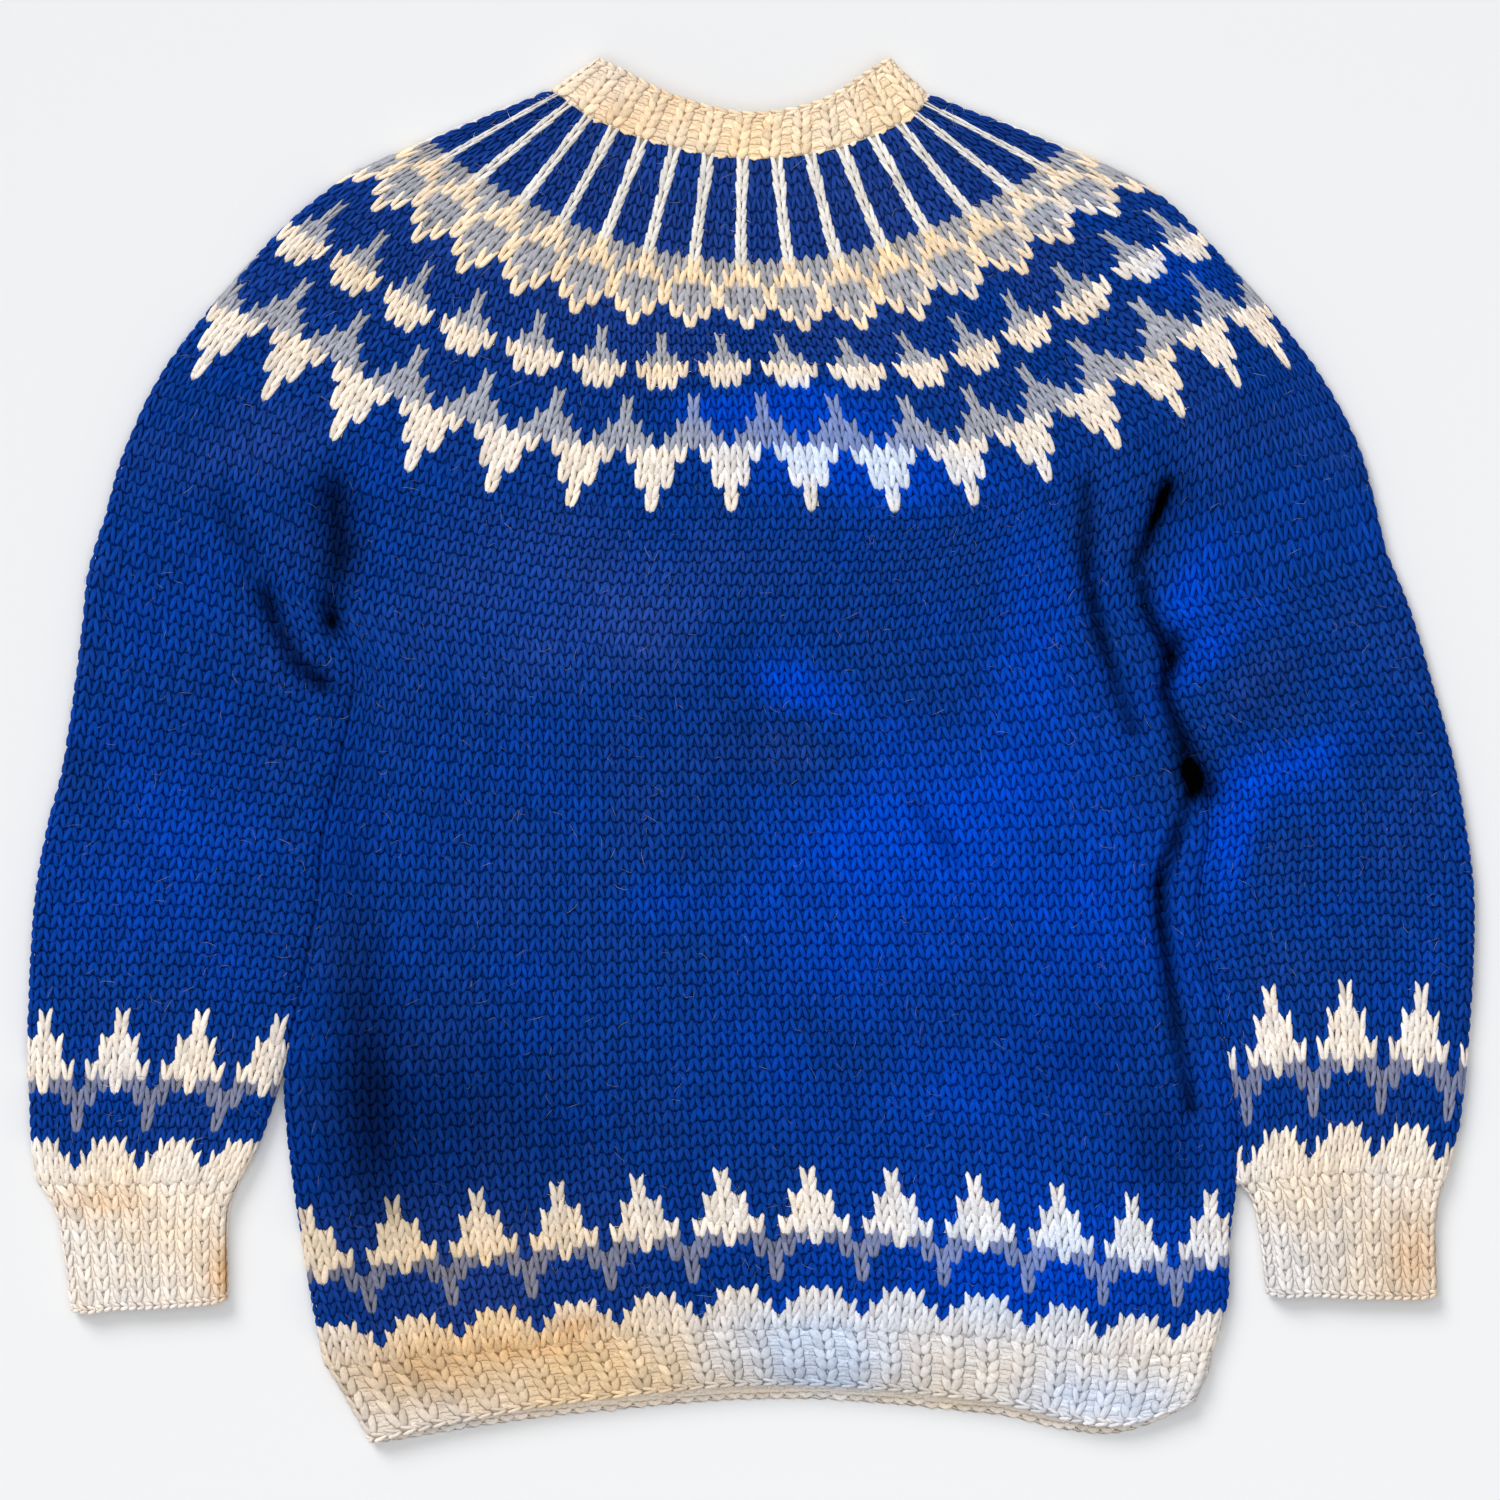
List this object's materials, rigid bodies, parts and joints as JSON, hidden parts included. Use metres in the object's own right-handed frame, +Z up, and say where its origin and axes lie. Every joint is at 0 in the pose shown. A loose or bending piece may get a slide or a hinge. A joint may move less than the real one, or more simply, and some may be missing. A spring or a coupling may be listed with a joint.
{
  "type": "nordic yoke sweater",
  "caption": "Hand-knitted wool sweater with a round patterned yoke, patterned sleeve and body ends, and ribbed neckband, cuffs and hem, laid flat on its back.",
  "frame": {"origin": "On the surface that the sweater lies on, under the middle of its outline.", "axes": "+X to the right of the front as seen from above, which is the wearer's left; +Y from the hem towards the neck; +Z up, out of the front of the sweater."},
  "size_m": [0.766, 0.732, 0.0118],
  "materials": {
    "blue_wool": "fuzzy bulky wool, matte, royal blue",
    "patterned_wool": "the same wool, matte, royal blue with natural white and grey pattern rounds",
    "cream_wool": "the same wool, matte, natural cream"
  },
  "bodies": {
    "root": {"neckband": "cream_wool", "yoke": "patterned_wool", "body": "blue_wool", "sleeve_left": "blue_wool", "sleeve_right": "blue_wool", "hem_rib": "cream_wool", "cuff_rib_left": "cream_wool", "cuff_rib_right": "cream_wool"}
  },
  "joints": []
}
